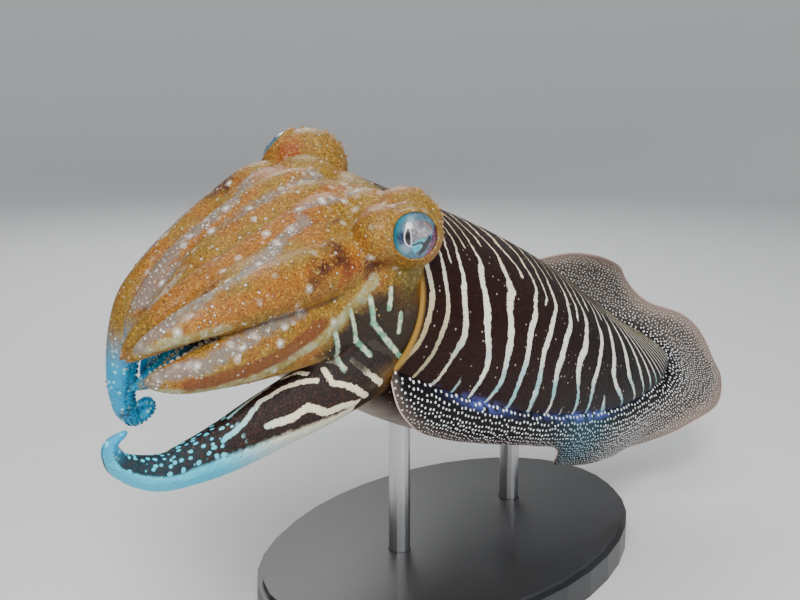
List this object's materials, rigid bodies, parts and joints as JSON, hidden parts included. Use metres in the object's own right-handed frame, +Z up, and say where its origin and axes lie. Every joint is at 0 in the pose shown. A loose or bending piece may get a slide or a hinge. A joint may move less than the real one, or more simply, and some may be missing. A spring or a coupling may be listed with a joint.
{
  "type": "common cuttlefish display model",
  "caption": "Life-size still model of a common cuttlefish, arms drooping and fins rippling, held above an oval base by two upright rods.",
  "frame": {"origin": "middle of the underside of the oval stand base", "axes": "+Z up, the base's long axis along X, the animal's head towards -X and its left side towards -Y"},
  "size_m": [0.332, 0.1277, 0.1713],
  "materials": {
    "mantle_skin": "satin, dark maroon brown with cream cross stripes",
    "head_skin": "satin, mottled ochre and orange brown with white flecks",
    "arm_skin": "satin, ochre with white flecks along each arm",
    "banded_arm_skin": "satin, dark brown with cream bands and a pale blue edge",
    "fin_skin": "satin, dark grey with fine white dots and a pale margin",
    "funnel_skin": "satin, pale grey brown",
    "eye": "clear gloss over a blue green iris with a black slit",
    "stand_base": "satin black paint",
    "stand_rod": "brushed"
  },
  "bodies": {
    "root": {"mantle": "mantle_skin", "head": "head_skin", "funnel": "funnel_skin", "eye_left": "eye", "eye_right": "eye", "arm_left_1_base": "arm_skin", "arm_left_1_tip": "arm_skin", "arm_left_2_base": "arm_skin", "arm_left_2_tip": "arm_skin", "arm_left_3_base": "arm_skin", "arm_left_3_tip": "arm_skin", "arm_left_4_base": "banded_arm_skin", "arm_left_4_middle": "banded_arm_skin", "arm_left_4_tip": "banded_arm_skin", "arm_right_1_base": "arm_skin", "arm_right_1_tip": "arm_skin", "arm_right_2_base": "arm_skin", "arm_right_2_middle": "arm_skin", "arm_right_2_tip": "arm_skin", "arm_right_3_base": "arm_skin", "arm_right_3_tip": "arm_skin", "arm_right_4_base": "banded_arm_skin", "arm_right_4_tip": "banded_arm_skin", "fin_left_front": "fin_skin", "fin_left_middle": "fin_skin", "fin_left_rear": "fin_skin", "fin_right_front": "fin_skin", "fin_right_middle": "fin_skin", "fin_right_rear": "fin_skin", "stand_base": "stand_base", "stand_rod_front": "stand_rod", "stand_rod_rear": "stand_rod"}
  },
  "joints": []
}
